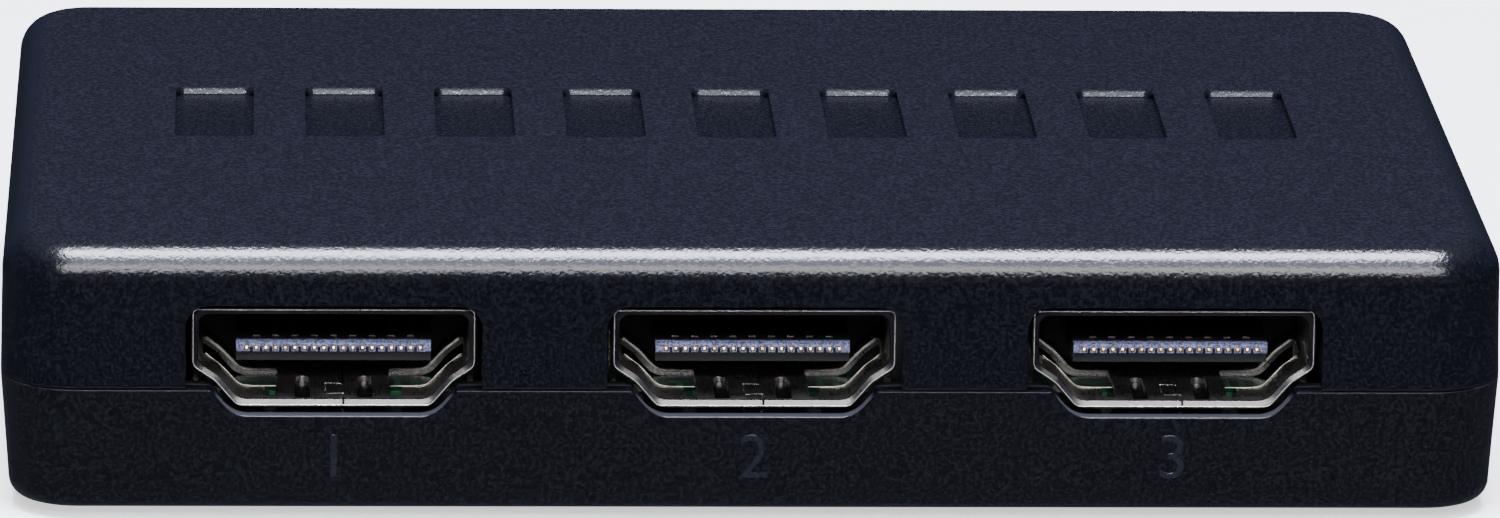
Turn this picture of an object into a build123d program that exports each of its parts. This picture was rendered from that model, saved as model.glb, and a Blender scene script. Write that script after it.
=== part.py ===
from build123d import *
import os
from math import hypot, radians, tan

os.makedirs("parts", exist_ok=True)

# Case: heights are counted from its underside, which stands on the feet
case_width = 78.0
case_depth = 57.0
case_height = 14.2
parting_height = 6.6
wall = 1.8
corner_radius = 4.0
top_edge_radius = 2.0
bottom_edge_radius = 1.0
edge_break = 0.07
upper_draft = 1.0
lower_draft = 4.0
rim_height = 0.9
rim_thickness = 0.7
rim_clearance = 0.08
overrun = 0.5

# Band of plain bars sunk into the roof
bar_count = 9
bar_width = 4.2
bar_length = 11.6
bar_pitch = 7.0
bar_depth = 0.4
bar_draft = 33.0
bar_corner_radius = 0.5
bar_shift = 1.6

# Feet and screws
foot_height = 0.5
foot_radius = 3.5
foot_recess = 0.3
foot_edge_radius = 0.25
foot_spacing_x = 50.0
foot_spacing_y = 36.0
screw_spacing_x = 66.0
screw_spacing_y = 41.0
screw_radius = 1.0
screw_length = 8.0
screw_bite = 0.1
screw_clearance = 0.25
screw_tip_clearance = 0.3
screw_head_radius = 1.9
screw_head_height = 1.2
screw_head_recess = 0.8
screw_head_edge_radius = 0.4
screw_cross_length = 2.2
screw_cross_width = 0.5
screw_cross_depth = 0.6
post_radius = 2.8

# Circuit board: heights of everything on it are counted from its top
board_top_height = 5.5
board_thickness = 1.6
board_inset = 3.9
board_side_gap = 0.8
board_corner_radius = 2.0
pin_clearance = 0.12
pin_stub = 0.5

# Receptacle shell, depths counted inwards from its mouth
socket_pitch = 21.75
output_x = -13.75
mouth_recess = 0.9
mouth_width = 14.0
mouth_height = 4.55
mouth_side_height = 2.6
mouth_floor_width = 9.75
knee_inset = 1.05
knee_drop = 0.7
roof_corner_radius = 0.55
hip_corner_radius = 0.7
knee_radius = 1.5
floor_corner_radius = 1.0
sheet = 0.3
lip_flare = 0.06
lip_length = 0.4
lip_bevel = 0.26
lip_bevel_depth = 0.14
shell_length = 11.2
mouth_gap = 0.29
opening_side_gap = 0.1
opening_spread = 0.2
opening_roof_gap = 0.12
opening_corner_radius = 1.0

# Windows, springs and seam of the shell
window_inner_x = 2.9
window_start = 2.85
window_end = 6.2
window_top = 2.1
notch_outer_x = 3.55
notch_start = 0.95
slot_inner_x = 1.27
slot_outer_x = 1.95
slot_start = 0.65
slot_end = 4.95
spring_end_gap = 0.25
spring_rise = 0.22
spring_tip_rise = 0.08
spring_crest = 2.7
spring_crest_length = 1.1
seam_x = 0.5
seam_gap = 0.08
seam_neck = 1.45
seam_lock_start = 1.3
seam_lock_end = 3.5
seam_lock_x = -0.42
leg_width = 1.2
leg_depths = (4.7, 9.6)
leg_stub = 0.4

# Tongue and contacts of the receptacle
insulator_depth = 7.8
insulator_clearance = 0.05
tongue_width = 10.1
tongue_below_roof = 1.9
tongue_thickness = 1.22
nose_depth = 2.1
nose_height = 0.6
nose_step = 0.6
nose_chamfer = 0.14
nose_notch_width = 0.14
nose_notch_height = 0.28
nose_notch_depth = 0.25
contact_pitch = 0.5
contact_count = 19
contact_width = 0.36
contact_thickness = 0.2
contact_proud = 0.05
contact_set_back = 1.0
tip_width = 0.22
tip_height = 0.2
tip_below_nose = 0.4
tip_proud = 0.04
tail_gap = 0.1
foot_length = 1.0

# Row of controls on the hidden long side
control_height = 3.4
button_x = 1.5
button_width = 6.4
button_height = 3.2
button_corner_radius = 1.2
button_edge_radius = 0.4
button_proud = 0.8
button_gap = 0.15
button_travel = 0.25
flange_margin = 0.8
flange_thickness = 0.8
flange_gap = 0.03
plunger_radius = 1.7
plunger_gap = 0.06
plunger_reach = 0.7
plunger_collar = 0.5
plunger_collar_thickness = 0.6
switch_stem = 0.7
switch_size = 6.0
switch_depth = 3.3
switch_skin = 0.2
chamber_radius = 2.5
chamber_depth = 1.7
dome_radius = 2.2
dome_thickness = 0.1
dome_slack = 0.02
terminal_x = 2.25
terminal_width = 0.7
terminal_thickness = 0.3

# Lamps and the infra-red receiver
led_places_x = (9.5, 14.0, 18.5)
led_radius = 1.5
led_length = 5.2
led_proud = 0.4
led_gap = 0.08
led_dome_radius = 1.35
led_collar_margin = 0.4
led_collar_thickness = 1.0
lead_thickness = 0.45
led_lead_x = 1.27
led_lead_run = 1.0
ir_x = 26.5
ir_window_width = 6.5
ir_window_height = 4.0
ir_window_radius = 0.7
ir_window_gap = 0.06
ir_flange_margin = 0.6
ir_flange_thickness = 0.7
ir_body_width = 6.0
ir_body_height = 5.6
ir_body_depth = 2.6
ir_body_start = 5.6
ir_lens_radius = 2.1
ir_lens_length = 1.9
ir_lens_edge_radius = 1.5
ir_lead_pitch = 2.0

# Power jack: depths counted inwards from the outside of the case
jack_x = -26.5
jack_width = 6.2
jack_height = 5.6
jack_centre = 2.8
jack_length = 10.5
jack_edge = 0.4
jack_snout_radius = 2.5
jack_snout_recess = 0.2
jack_hole_gap = 0.15
jack_bore_radius = 1.9
jack_bore_end = 9.0
jack_pin_radius = 0.65
jack_pin_recess = 0.8
jack_pin_tip_radius = 0.3
jack_pin_root_radius = 1.0
jack_pin_root_gap = 0.04
jack_tab_width = 2.4
jack_tab_thickness = 0.3
jack_leaf_width = 1.5
jack_leaf_thickness = 0.25
jack_leaf_height = 0.5
jack_leaf_rise = 0.35
jack_leaf_run = 4.6
jack_leaf_end = 8.2
jack_slot_gap = 0.15

# Chips and small parts, placed from the middle of the board
switch_chip_size = 10.0
switch_chip_height = 1.2
switch_chip_lead_pitch = 0.8
switch_chip_side_leads = 11
controller_place = (20.0, 8.0)
controller_size = (8.7, 3.9)
controller_side_leads = 7
memory_row_y = -11.3
memory_size = (4.9, 3.9)
memory_side_leads = 4
small_chip_height = 1.4
small_lead_pitch = 1.27
lead_foot = 0.5
lead_out = 0.4
chip_lead_width = 0.35
chip_lead_thickness = 0.18
regulator_place = (-28.5, 7.0)
regulator_size = (6.5, 3.5)
regulator_side_leads = 3
regulator_lead_pitch = 2.3
crystal_place = (21.0, -1.0)
crystal_length = 10.8
crystal_width = 4.4
crystal_height = 3.5
crystal_edge_radius = 0.6
can_place = (-18.5, 6.5)
can_radius = 3.1
can_height = 5.4
can_edge_radius = 0.4
capacitor_size = (2.0, 1.25, 0.9)
capacitor_spacing = (22.0, 2.8)
capacitor_counts = (2, 4)
resistor_size = (1.6, 0.8, 0.5)
resistor_pitch = 3.2
resistor_count = 6
resistor_row = (13.0, 13.2)

# Places that follow from the sizes above
case_mid_y = -button_proud / 2
front_y = case_mid_y - case_depth / 2
back_y = case_mid_y + case_depth / 2
board_top_z = foot_height + board_top_height
board_width = case_width - 2 * (wall + board_side_gap)
board_length = case_depth - 2 * board_inset
roof = wall
bar_slope = bar_depth * tan(radians(bar_draft))
mouth_floor = sheet
mouth_roof = sheet + mouth_height
lip_growth = sheet + lip_flare
opening_growth = lip_growth + mouth_gap
tongue_top = mouth_roof - tongue_below_roof
tongue_bottom = tongue_top - tongue_thickness
tip_middle = tongue_top - tip_below_nose
tail_depth = shell_length + tail_gap + contact_thickness / 2
upper_lean = (case_height - parting_height) * tan(radians(upper_draft))
lower_lean = (parting_height - board_top_height) * tan(radians(lower_draft))
wall_inside = wall + max(upper_lean, lower_lean)
flange_start = wall_inside + flange_gap
switch_start = flange_start + flange_thickness + switch_stem + plunger_reach
collar_start = switch_start + switch_skin + plunger_gap
collar_end = collar_start + plunger_collar_thickness
dome_apex = collar_end + button_travel + dome_slack
dome_rim = switch_start + switch_skin + chamber_depth
led_base = led_length - led_proud
jack_start = wall_inside + flange_gap
jack_back = jack_start + jack_length


def level(height):
    """Level plane at a height above the case's underside, centred on the case."""
    return Plane((0, case_mid_y, foot_height + height))


def facing(x, y, outward):
    """Upright plane at the board's top, seen from outside: x right, y up, z out of the case."""
    return Plane(origin=(x, y, board_top_z), x_dir=(-outward, 0, 0), z_dir=(0, outward, 0))


def section(front):
    """Upright plane through the middle of a piece: x into the case, y up."""
    return Plane(origin=front.origin, x_dir=-front.z_dir, z_dir=front.x_dir)


def floor(front):
    """Level plane at the board's top: x right as seen from outside, y into the case."""
    return Plane(origin=front.origin, x_dir=front.x_dir, z_dir=(0, 0, 1))


def strip(side, points, thickness, width):
    """Bend a strip of metal along points of a section plane, centred across that plane."""
    with BuildSketch(side.offset(-width / 2)) as profile:
        with BuildLine():
            Polyline(*points)
        trace(line_width=thickness)
    extrude(profile.sketch, amount=width)


def finish(piece, name):
    """Label a finished sub-part and write its file."""
    piece.part.label = name
    export_step(piece.part, f"parts/{name}.step")
    print(f"{name:24s} {len(piece.part.solids()):3d} solids {piece.part.volume:10.2f} mm3")


inputs = [facing(k * socket_pitch, front_y + mouth_recess, -1) for k in (-1, 0, 1)]
output = facing(output_x, back_y - mouth_recess, 1)
button_front = facing(button_x, back_y, 1)
led_fronts = [facing(x, back_y, 1) for x in led_places_x]
ir_front = facing(ir_x, back_y, 1)
jack_front = facing(jack_x, back_y, 1)


def mouth_face(growth):
    """The D-shaped mouth of a receptacle seen from outside, grown evenly all round."""
    half, flat = mouth_width / 2, mouth_floor_width / 2
    hip = mouth_roof - mouth_side_height
    knee = hip - knee_drop
    right = [(flat, mouth_floor), (half - knee_inset, knee), (half, hip), (half, mouth_roof)]
    left = [(-across, up) for across, up in reversed(right)]
    with BuildSketch(mode=Mode.PRIVATE) as profile:
        with BuildLine():
            Polyline(*right, *left, close=True)
        make_face()
        fillet(profile.vertices().group_by(Axis.Y)[-1], roof_corner_radius)
        fillet(profile.vertices().group_by(Axis.Y)[0], floor_corner_radius)
        for across, up, radius in ((half - knee_inset, knee, knee_radius), (half, hip, hip_corner_radius)):
            corners = profile.vertices().sort_by(lambda v: hypot(abs(v.X) - across, v.Y - up))
            fillet(corners[:2], radius)
        if growth:
            offset(amount=growth)
    return profile.sketch


mouth = mouth_face(0)
mouth_outside = mouth_face(sheet)
mouth_lip = mouth_face(lip_growth)
mouth_opening = mouth_face(opening_growth)
insulator_outside = mouth_face(-insulator_clearance)


def roof_opening():
    """The upper half of a socket opening, from the parting line up, widening downwards."""
    base = parting_height - board_top_height
    top = mouth_roof + lip_growth + opening_roof_gap
    half = mouth_width / 2 + lip_growth + opening_side_gap
    wide = half + opening_spread
    with BuildSketch(mode=Mode.PRIVATE) as profile:
        with BuildLine():
            Polyline((-wide, base), (wide, base), (half, top), (-half, top), close=True)
        make_face()
        fillet(profile.vertices().group_by(Axis.Y)[-1], opening_corner_radius)
    return profile.sketch


def cut_wall(outside, shape):
    """Cut a shape through the case wall whose outer face is the plane given."""
    with BuildSketch(outside.offset(overrun)) as cut:
        add(shape)
    extrude(cut.sketch, amount=-(wall + 2 * overrun), mode=Mode.SUBTRACT)


def plain_hole(make, *sizes):
    """A hole of the control row, drawn at its height above the board."""
    with BuildSketch(mode=Mode.PRIVATE) as profile:
        with Locations((0, control_height)):
            make(*sizes)
    return profile.sketch


def cut_openings():
    """Every opening in the two long walls, alike in both shells."""
    for front in (*inputs, output):
        cut_wall(front.offset(mouth_recess), roof_opening())
        cut_wall(front.offset(mouth_recess), mouth_opening)
    gap = 2 * button_gap
    corner = button_corner_radius + button_gap
    cut_wall(button_front, plain_hole(RectangleRounded, button_width + gap, button_height + gap, corner))
    for front in led_fronts:
        cut_wall(front, plain_hole(Circle, led_radius + led_gap))
    cut_wall(ir_front, plain_hole(RectangleRounded, ir_window_width, ir_window_height, ir_window_radius))
    with BuildSketch(mode=Mode.PRIVATE) as jack_hole:
        with Locations((0, jack_centre)):
            Circle(jack_snout_radius + jack_hole_gap)
    cut_wall(jack_front, jack_hole.sketch)


def outline(inset):
    """Plan outline of the case at the parting line, drawn in from its outer face."""
    RectangleRounded(case_width - 2 * inset, case_depth - 2 * inset, corner_radius - inset)


# Upper shell: drafted walls, rounded top edge, sunk bars, rebate for the rim, screw bosses
with BuildPart() as top_cover:
    with BuildSketch(level(parting_height)):
        outline(0)
    extrude(amount=case_height - parting_height, taper=upper_draft)
    fillet(top_cover.faces().sort_by(Axis.Z)[-1].edges(), top_edge_radius)
    chamfer(top_cover.faces().sort_by(Axis.Z)[0].edges(), edge_break)
    with BuildSketch(level(parting_height)):
        outline(wall)
    extrude(amount=case_height - parting_height - roof, taper=upper_draft, mode=Mode.SUBTRACT)
    with BuildSketch(level(parting_height)):
        outline(wall - rim_thickness - rim_clearance)
    extrude(amount=rim_height + rim_clearance, mode=Mode.SUBTRACT)
    with BuildSketch(level(board_top_height)):
        with GridLocations(screw_spacing_x, screw_spacing_y, 2, 2):
            Circle(post_radius)
    extrude(amount=case_height - roof - board_top_height)
    with BuildSketch(level(case_height)):
        with Locations((0, bar_shift)):
            with GridLocations(bar_pitch, 0, bar_count, 1):
                RectangleRounded(bar_width, bar_length, bar_corner_radius)
    extrude(amount=-bar_depth, taper=bar_draft, mode=Mode.SUBTRACT)
    with BuildSketch(level(case_height)):
        with Locations((0, bar_shift - bar_slope)):
            with GridLocations(bar_pitch, 0, bar_count, 1):
                RectangleRounded(bar_width, bar_length - 2 * bar_slope, bar_corner_radius)
    extrude(amount=-bar_depth, mode=Mode.SUBTRACT)
    cut_openings()
    screw_reach = screw_head_recess + screw_head_height + screw_length + screw_tip_clearance
    with BuildSketch(level(board_top_height)):
        with GridLocations(screw_spacing_x, screw_spacing_y, 2, 2):
            Circle(screw_radius - screw_bite)
    extrude(amount=screw_reach - board_top_height, mode=Mode.SUBTRACT)
finish(top_cover, "top_cover")

# Lower shell: tapered walls, raised rim, posts under the board, recesses for screws and feet
with BuildPart() as bottom_cover:
    with BuildSketch(level(parting_height)):
        outline(0)
    extrude(amount=-parting_height, taper=lower_draft)
    fillet(bottom_cover.faces().sort_by(Axis.Z)[0].edges(), bottom_edge_radius)
    chamfer(bottom_cover.faces().sort_by(Axis.Z)[-1].edges(), edge_break)
    with BuildSketch(level(parting_height)):
        outline(wall)
    extrude(amount=-(parting_height - wall), taper=lower_draft, mode=Mode.SUBTRACT)
    with BuildSketch(level(parting_height)):
        outline(wall - rim_thickness)
        with BuildSketch(mode=Mode.PRIVATE) as rim_hole:
            outline(wall)
        add(rim_hole.sketch, mode=Mode.SUBTRACT)
    extrude(amount=rim_height)
    with BuildSketch(level(wall)):
        with GridLocations(screw_spacing_x, screw_spacing_y, 2, 2):
            Circle(post_radius)
    extrude(amount=board_top_height - board_thickness - wall)
    with BuildSketch(level(0)):
        with GridLocations(screw_spacing_x, screw_spacing_y, 2, 2):
            Circle(screw_radius + screw_clearance)
    extrude(amount=board_top_height, mode=Mode.SUBTRACT)
    with BuildSketch(level(0)):
        with GridLocations(screw_spacing_x, screw_spacing_y, 2, 2):
            Circle(screw_head_radius + screw_clearance)
    extrude(amount=screw_head_recess + screw_head_height, mode=Mode.SUBTRACT)
    with BuildSketch(level(0)):
        with GridLocations(foot_spacing_x, foot_spacing_y, 2, 2):
            Circle(foot_radius + screw_clearance)
    extrude(amount=foot_recess, mode=Mode.SUBTRACT)
    cut_openings()
finish(bottom_cover, "bottom_cover")

# Four feet stuck into shallow recesses
with BuildPart() as rubber_feet:
    with BuildSketch(level(foot_recess)):
        with GridLocations(foot_spacing_x, foot_spacing_y, 2, 2):
            Circle(foot_radius)
    extrude(amount=-(foot_recess + foot_height))
    fillet(rubber_feet.edges().group_by(Axis.Z)[0], foot_edge_radius)
finish(rubber_feet, "rubber_feet")

# Four self-tapping screws, driven up from below into the bosses
with BuildPart() as case_screws:
    with BuildSketch(level(screw_head_recess)):
        with GridLocations(screw_spacing_x, screw_spacing_y, 2, 2):
            Circle(screw_head_radius)
    extrude(amount=screw_head_height)
    fillet(case_screws.edges().group_by(Axis.Z)[0], screw_head_edge_radius)
    with BuildSketch(level(screw_head_recess + screw_head_height)):
        with GridLocations(screw_spacing_x, screw_spacing_y, 2, 2):
            Circle(screw_radius)
    extrude(amount=screw_length)
    with BuildSketch(level(screw_head_recess)):
        with GridLocations(screw_spacing_x, screw_spacing_y, 2, 2):
            Rectangle(screw_cross_length, screw_cross_width)
            Rectangle(screw_cross_width, screw_cross_length)
    extrude(amount=screw_cross_depth, mode=Mode.SUBTRACT)
finish(case_screws, "case_screws")

leg_x = (mouth_width + sheet) / 2
switch_wing_x = (switch_size + switch_skin) / 2
terminal_depth = switch_start + switch_skin + switch_depth / 2
jack_tab_depth = jack_back + jack_tab_thickness / 2
led_lead_depth = led_base + led_lead_run
ir_lead_depth = ir_body_start + ir_body_depth / 2


def through_board(front, places, make, *sizes):
    """Cut holes through the board at places counted right and inwards from a front plane."""
    with BuildSketch(floor(front)) as holes:
        with Locations(*places):
            make(*sizes)
    extrude(holes.sketch, amount=-board_thickness, mode=Mode.SUBTRACT)


# Board with a slot or hole for every leg and lead
slack = 2 * pin_clearance
with BuildPart() as circuit_board:
    with BuildSketch(level(board_top_height)):
        RectangleRounded(board_width, board_length, board_corner_radius)
        with GridLocations(screw_spacing_x, screw_spacing_y, 2, 2):
            Circle(screw_radius + screw_clearance, mode=Mode.SUBTRACT)
    extrude(amount=-board_thickness)
    for front in (*inputs, output):
        legs = [(side * leg_x, depth) for side in (-1, 1) for depth in leg_depths]
        through_board(front, legs, Rectangle, sheet + slack, leg_width + slack)
    for front in led_fronts:
        leads = [(side * led_lead_x, led_lead_depth) for side in (-1, 1)]
        through_board(front, leads, Rectangle, lead_thickness + slack, lead_thickness + slack)
    leads = [(k * ir_lead_pitch, ir_lead_depth) for k in (-1, 0, 1)]
    through_board(ir_front, leads, Rectangle, lead_thickness + slack, lead_thickness + slack)
    wings = [(side * switch_wing_x, terminal_depth) for side in (-1, 1)]
    through_board(button_front, wings, Rectangle, switch_skin + slack, leg_width + slack)
    terminals = [(side * terminal_x, terminal_depth) for side in (-1, 1)]
    through_board(button_front, terminals, Rectangle, terminal_width + slack, terminal_thickness + slack)
    tab = [(0, jack_tab_depth)]
    through_board(jack_front, tab, Rectangle, jack_tab_width + slack, jack_tab_thickness + slack)
    leaf = [(0, jack_leaf_end)]
    through_board(jack_front, leaf, Rectangle, jack_leaf_width + slack, jack_leaf_thickness + slack)
finish(circuit_board, "circuit_board")


def spring_fingers(front, base, up):
    """Free two sprung fingers from a flat of the shell and bend them into the mouth.

    base is the height of the sheet's outer face and up points from it to its inner face.
    """
    inner, outer = slot_outer_x, window_inner_x
    middle = (inner + outer) / 2
    cut_end = slot_end + spring_end_gap
    with BuildSketch(floor(front).offset(base)) as cuts:
        for side in (-1, 1):
            with Locations((side * (slot_inner_x + slot_outer_x) / 2, (slot_start + slot_end) / 2)):
                SlotOverall(slot_end - slot_start, slot_outer_x - slot_inner_x, rotation=90)
            with Locations((side * middle, (notch_start + cut_end) / 2)):
                Rectangle(outer - inner, cut_end - notch_start)
            with Locations((side * (outer + notch_outer_x) / 2, (notch_start + cut_end) / 2)):
                Rectangle(notch_outer_x - outer, cut_end - notch_start)
    extrude(cuts.sketch, amount=up * sheet, mode=Mode.SUBTRACT)
    half = up * sheet / 2
    crest = base + half + up * spring_rise
    rise = [
        (notch_start, base + half),
        (spring_crest, crest),
        (spring_crest + spring_crest_length, crest),
        (slot_end, base + half + up * spring_tip_rise),
    ]
    for side in (-1, 1):
        strip(section(front).offset(side * middle), rise, sheet, outer - inner)


def receptacle_shell(front, name):
    """Folded sheet shell: flared mouth, seam with its lock, windows, fingers and four legs."""
    with BuildPart() as shell:
        with BuildSketch(front):
            add(mouth_outside)
        extrude(amount=-shell_length)
        with BuildSketch(front):
            add(mouth_lip)
        extrude(amount=-lip_length)
        with BuildSketch(front):
            add(mouth)
        extrude(amount=-shell_length, mode=Mode.SUBTRACT)
        rim = shell.faces().sort_by(Axis(front.origin, front.z_dir))[-1]
        chamfer(rim.inner_wires()[0].edges(), lip_bevel, lip_bevel_depth, reference=rim)
        with BuildSketch(floor(front)):
            for side in (-1, 1):
                outer = mouth_width / 2 + lip_growth
                with Locations((side * (window_inner_x + outer) / 2, (window_start + window_end) / 2)):
                    Rectangle(outer - window_inner_x, window_end - window_start)
        extrude(amount=window_top, mode=Mode.SUBTRACT)
        spring_fingers(front, 0, 1)
        spring_fingers(front, mouth_roof + sheet, -1)
        with BuildSketch(floor(front).offset(-lip_growth)):
            with BuildLine():
                Polyline(
                    (seam_x, -overrun),
                    (seam_x, seam_neck),
                    (seam_lock_x, seam_lock_start),
                    (seam_lock_x, seam_lock_end),
                    (seam_x, seam_lock_end - (seam_neck - seam_lock_start)),
                    (seam_x, shell_length + overrun),
                )
            trace(line_width=seam_gap)
        extrude(amount=lip_growth + sheet + overrun, mode=Mode.SUBTRACT)
        with BuildSketch(floor(front).offset(-(board_thickness + leg_stub))):
            for depth in leg_depths:
                for side in (-1, 1):
                    with Locations((side * leg_x, depth)):
                        Rectangle(sheet, leg_width)
        extrude(amount=board_thickness + leg_stub + window_top + sheet)
    finish(shell, f"{name}_shell")


def contact_path(top_row):
    """Bent line of one contact: out of the nose's middle, along the tongue, down to the board."""
    rest = contact_thickness / 2 - contact_proud
    blade = tongue_top - rest if top_row else tongue_bottom + rest
    link = nose_depth + contact_set_back
    foot = contact_thickness / 2
    return [
        (link, tip_middle),
        (link, blade),
        (tail_depth, blade),
        (tail_depth, foot),
        (tail_depth + foot_length, foot),
    ]


def contact_solids(front):
    """All contacts of one receptacle, upper and lower row in turn."""
    side = section(front)
    for k in range(contact_count):
        across = (k - (contact_count - 1) / 2) * contact_pitch
        strip(side.offset(across), contact_path(k % 2 == 1), contact_thickness, contact_width)
        tip = [
            (nose_depth - tip_proud, tip_middle),
            (nose_depth + contact_set_back, tip_middle),
        ]
        strip(side.offset(across), tip, tip_height, tip_width)


def receptacle_inside(front, name):
    """Contacts, and the moulded tongue and block that hold them."""
    with BuildPart() as contacts:
        contact_solids(front)
    finish(contacts, f"{name}_contacts")
    nose_bottom = tongue_top - nose_height
    step = nose_depth + nose_step
    with BuildPart() as insulator:
        with BuildSketch(front.offset(-insulator_depth)):
            add(insulator_outside)
        extrude(amount=-(shell_length - insulator_depth))
        with BuildSketch(section(front).offset(-tongue_width / 2)):
            with BuildLine():
                Polyline(
                    (shell_length, tongue_bottom),
                    (step, tongue_bottom),
                    (step, nose_bottom),
                    (nose_depth, nose_bottom),
                    (nose_depth, tongue_top - nose_chamfer),
                    (nose_depth + nose_chamfer, tongue_top),
                    (shell_length, tongue_top),
                    close=True,
                )
            make_face()
        extrude(amount=tongue_width)
        with BuildSketch(front.offset(-nose_depth)):
            with Locations((0, nose_bottom)):
                with GridLocations(contact_pitch, 0, contact_count - 1, 1):
                    Rectangle(nose_notch_width, 2 * nose_notch_height)
        extrude(amount=-nose_notch_depth, mode=Mode.SUBTRACT)
        contact_part = contacts.part
        add(contact_part, mode=Mode.SUBTRACT)
    finish(insulator, f"{name}_insulator")


sockets = {"input_1": inputs[0], "input_2": inputs[1], "input_3": inputs[2], "output": output}
for name, front in sockets.items():
    receptacle_shell(front, name)
    receptacle_inside(front, name)

# Push cap: held behind the wall by its flange, with a stem to the switch
with BuildPart() as select_button:
    with BuildSketch(button_front.offset(button_proud)):
        with Locations((0, control_height)):
            RectangleRounded(button_width, button_height, button_corner_radius)
    extrude(amount=-(button_proud + flange_start))
    fillet(select_button.faces().sort_by(Axis.Y)[-1].edges(), button_edge_radius)
    with BuildSketch(button_front.offset(-flange_start)):
        with Locations((0, control_height)):
            RectangleRounded(
                button_width + 2 * flange_margin,
                button_height + 2 * flange_margin,
                button_corner_radius,
            )
    extrude(amount=-flange_thickness)
    with BuildSketch(button_front.offset(-(flange_start + flange_thickness))):
        with Locations((0, control_height)):
            Circle(plunger_radius)
    extrude(amount=-switch_stem)
finish(select_button, "select_button")

# Plunger of the switch, caught in its chamber by a collar
with BuildPart() as switch_plunger:
    with BuildSketch(button_front.offset(-(switch_start - plunger_reach))):
        with Locations((0, control_height)):
            Circle(plunger_radius)
    extrude(amount=-(collar_end - switch_start + plunger_reach))
    with BuildSketch(button_front.offset(-collar_start)):
        with Locations((0, control_height)):
            Circle(plunger_radius + plunger_collar)
    extrude(amount=-plunger_collar_thickness)
finish(switch_plunger, "switch_plunger")

# Bent sheet frame of the switch: front plate with two wings that go through the board
switch_base = control_height - switch_size / 2
with BuildPart() as switch_bracket:
    with BuildSketch(button_front.offset(-switch_start)):
        with Locations((0, control_height)):
            Rectangle(switch_size + 2 * switch_skin, switch_size)
            Circle(plunger_radius + plunger_gap, mode=Mode.SUBTRACT)
    extrude(amount=-switch_skin)
    wing = terminal_depth + leg_width / 2 - switch_start
    for side in (-1, 1):
        with BuildSketch(floor(button_front).offset(switch_base)):
            with Locations((side * switch_wing_x, switch_start + wing / 2)):
                Rectangle(switch_skin, wing)
        extrude(amount=switch_size)
        with BuildSketch(floor(button_front).offset(switch_base)):
            with Locations((side * switch_wing_x, terminal_depth)):
                Rectangle(switch_skin, leg_width)
        extrude(amount=-(switch_base + board_thickness + pin_stub))
finish(switch_bracket, "switch_bracket")

# Moulded body of the switch with the chamber for plunger and dome
with BuildPart() as switch_body:
    with BuildSketch(button_front.offset(-(switch_start + switch_skin))):
        with Locations((0, control_height)):
            Rectangle(switch_size, switch_size)
    extrude(amount=-switch_depth)
    with BuildSketch(button_front.offset(-(switch_start + switch_skin))):
        with Locations((0, control_height)):
            Circle(chamber_radius)
    extrude(amount=-chamber_depth, mode=Mode.SUBTRACT)
finish(switch_body, "switch_body")

# Snap dome resting on the chamber's floor, just clear of the plunger at full press
with BuildPart() as switch_dome:
    rise = dome_rim - dome_apex - dome_thickness
    with BuildSketch(section(button_front)):
        with BuildLine():
            RadiusArc(
                (dome_rim - dome_thickness / 2, control_height + dome_radius),
                (dome_apex + dome_thickness / 2, control_height),
                -(dome_radius**2 + rise**2) / (2 * rise),
            )
        trace(line_width=dome_thickness)
    axis_point = section(button_front).from_local_coords((0, control_height, 0))
    revolve(axis=Axis(axis_point, button_front.z_dir))
finish(switch_dome, "switch_dome")

# Two terminals under the switch
with BuildPart() as switch_terminals:
    with BuildSketch(floor(button_front).offset(switch_base)):
        with Locations(*terminals):
            Rectangle(terminal_width, terminal_thickness)
    extrude(amount=-(switch_base + board_thickness + pin_stub))
finish(switch_terminals, "switch_terminals")


def lamp(front, name):
    """Round lamp lying in its wall hole, collar inside."""
    with BuildPart() as led:
        with BuildSketch(front.offset(led_proud)):
            with Locations((0, control_height)):
                Circle(led_radius)
        extrude(amount=-led_length)
        fillet(led.faces().sort_by(Axis.Y)[-1].edges(), led_dome_radius)
        with BuildSketch(front.offset(-(led_base - led_collar_thickness))):
            with Locations((0, control_height)):
                Circle(led_radius + led_collar_margin)
        extrude(amount=-led_collar_thickness)
    finish(led, name)


for number, front in enumerate(led_fronts, 1):
    lamp(front, f"led_{number}")

# Two bent leads from each lamp down through the board
with BuildPart() as led_leads:
    for front in led_fronts:
        for side in (-1, 1):
            run = [
                (led_base, control_height),
                (led_lead_depth, control_height),
                (led_lead_depth, -(board_thickness + pin_stub)),
            ]
            strip(section(front).offset(side * led_lead_x), run, lead_thickness, lead_thickness)
finish(led_leads, "led_leads")

# Infra-red window: flush in the wall, with a flange inside
with BuildPart() as ir_window:
    with BuildSketch(ir_front):
        with Locations((0, control_height)):
            RectangleRounded(
                ir_window_width - 2 * ir_window_gap,
                ir_window_height - 2 * ir_window_gap,
                ir_window_radius,
            )
    extrude(amount=-flange_start)
    with BuildSketch(ir_front.offset(-flange_start)):
        with Locations((0, control_height)):
            Rectangle(ir_window_width + 2 * ir_flange_margin, ir_window_height + 2 * ir_flange_margin)
    extrude(amount=-ir_flange_thickness)
finish(ir_window, "ir_window")

# Receiver: moulded body with a round lens towards the window
with BuildPart() as ir_receiver:
    with BuildSketch(ir_front.offset(-ir_body_start)):
        with Locations((0, control_height)):
            Rectangle(ir_body_width, ir_body_height)
    extrude(amount=-ir_body_depth)
    with BuildSketch(ir_front.offset(-(ir_body_start - ir_lens_length))):
        with Locations((0, control_height)):
            Circle(ir_lens_radius)
    extrude(amount=-ir_lens_length)
    fillet(ir_receiver.faces().sort_by(Axis.Y)[-1].edges(), ir_lens_edge_radius)
finish(ir_receiver, "ir_receiver")

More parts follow.
